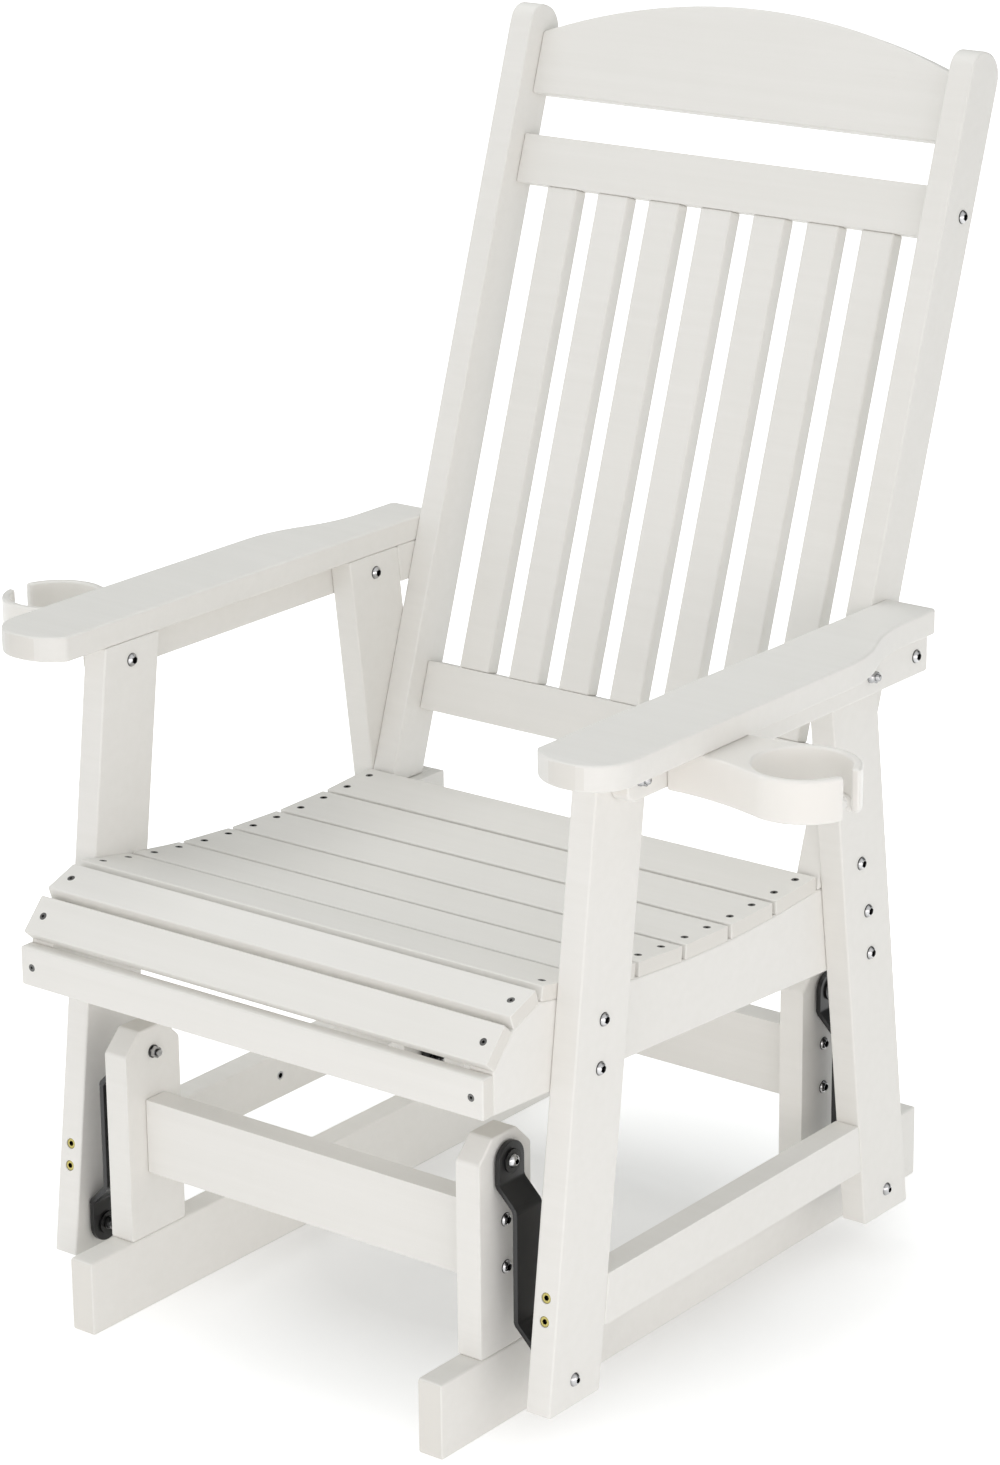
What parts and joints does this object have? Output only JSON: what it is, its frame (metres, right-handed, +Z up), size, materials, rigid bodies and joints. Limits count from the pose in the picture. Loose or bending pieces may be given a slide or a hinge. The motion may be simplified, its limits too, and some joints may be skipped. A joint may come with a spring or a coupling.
{
  "type": "glider chair",
  "caption": "High-backed slatted porch chair with cup holders, hung from a trestle base on swing arms so that the seat glides back and forth.",
  "frame": {"origin": "on the floor under the middle of the chair's outline", "axes": "+X to the right of someone who looks at the chair's front, +Y to the back, +Z up"},
  "size_m": [0.96, 0.8064, 1.1489],
  "materials": {
    "board": "matte off-white board with softly eased edges",
    "cup_plastic": "smooth satin white moulding",
    "strap": "satin black coated steel",
    "bush": "matte black nylon",
    "bolt_steel": "bright steel",
    "brass": "yellow passivated",
    "screw_steel": "dull grey steel"
  },
  "bodies": {
    "base": {"left_foot": "board", "right_foot": "board", "front_left_post": "board", "front_right_post": "board", "rear_left_post": "board", "rear_right_post": "board", "front_base_stretcher": "board", "rear_base_stretcher": "board", "base_bolts": "bolt_steel", "upper_pivot_bolts": "bolt_steel"},
    "front_left_arm": {"front_left_arm": "strap", "front_left_bushes": "bush"},
    "front_right_arm": {"front_right_arm": "strap", "front_right_bushes": "bush"},
    "rear_left_arm": {"rear_left_arm": "strap", "rear_left_bushes": "bush"},
    "rear_right_arm": {"rear_right_arm": "strap", "rear_right_bushes": "bush"},
    "seat": {"front_left_leg": "board", "front_right_leg": "board", "rear_left_leg": "board", "rear_right_leg": "board", "left_side_stretcher": "board", "right_side_stretcher": "board", "left_side_rail": "board", "right_side_rail": "board", "apron": "board", "lower_front_slat": "board", "upper_front_slat": "board", "seat_slat_1": "board", "seat_slat_2": "board", "seat_slat_3": "board", "seat_slat_4": "board", "seat_slat_5": "board", "seat_slat_6": "board", "left_stile": "board", "right_stile": "board", "lower_back_rail": "board", "upper_back_rail": "board", "crest_rail": "board", "back_slat_1": "board", "back_slat_2": "board", "back_slat_3": "board", "back_slat_4": "board", "back_slat_5": "board", "back_slat_6": "board", "back_slat_7": "board", "left_armrest": "board", "right_armrest": "board", "left_arm_rail": "board", "right_arm_rail": "board", "left_cup_holder": "cup_plastic", "right_cup_holder": "cup_plastic", "arm_spacers": "board", "backing_blocks": "board", "frame_bolts": "bolt_steel", "lower_pivot_bolts": "bolt_steel", "brass_bolts": "brass", "slat_screws": "screw_steel", "hidden_screws": "screw_steel"}
  },
  "joints": [
    {"name": "front_left_arm_swing", "type": "hinge", "parent": "base", "child": "front_left_arm", "pos_m": [-0.2245, -0.30908, 0.255], "axis": [1, 0, 0], "range_deg": [-20, 20]},
    {"name": "front_right_arm_swing", "type": "hinge", "parent": "base", "child": "front_right_arm", "pos_m": [0.2245, -0.30908, 0.255], "axis": [1, 0, 0], "range_deg": [-20, 20]},
    {"name": "rear_left_arm_swing", "type": "hinge", "parent": "base", "child": "rear_left_arm", "pos_m": [-0.2245, 0.19292, 0.255], "axis": [1, 0, 0], "range_deg": [-20, 20]},
    {"name": "rear_right_arm_swing", "type": "hinge", "parent": "base", "child": "rear_right_arm", "pos_m": [0.2245, 0.19292, 0.255], "axis": [1, 0, 0], "range_deg": [-20, 20]},
    {"name": "seat_hang", "type": "hinge", "parent": "front_left_arm", "child": "seat", "pos_m": [-0.2625, -0.30908, 0.0635], "axis": [1, 0, 0], "range_deg": [-20, 20]}
  ],
  "couplings": [
    {"joint": "front_right_arm_swing", "follows": "front_left_arm_swing", "ratio": 1},
    {"joint": "rear_left_arm_swing", "follows": "front_left_arm_swing", "ratio": 1},
    {"joint": "rear_right_arm_swing", "follows": "front_left_arm_swing", "ratio": 1},
    {"joint": "seat_hang", "follows": "front_left_arm_swing", "ratio": -1}
  ]
}
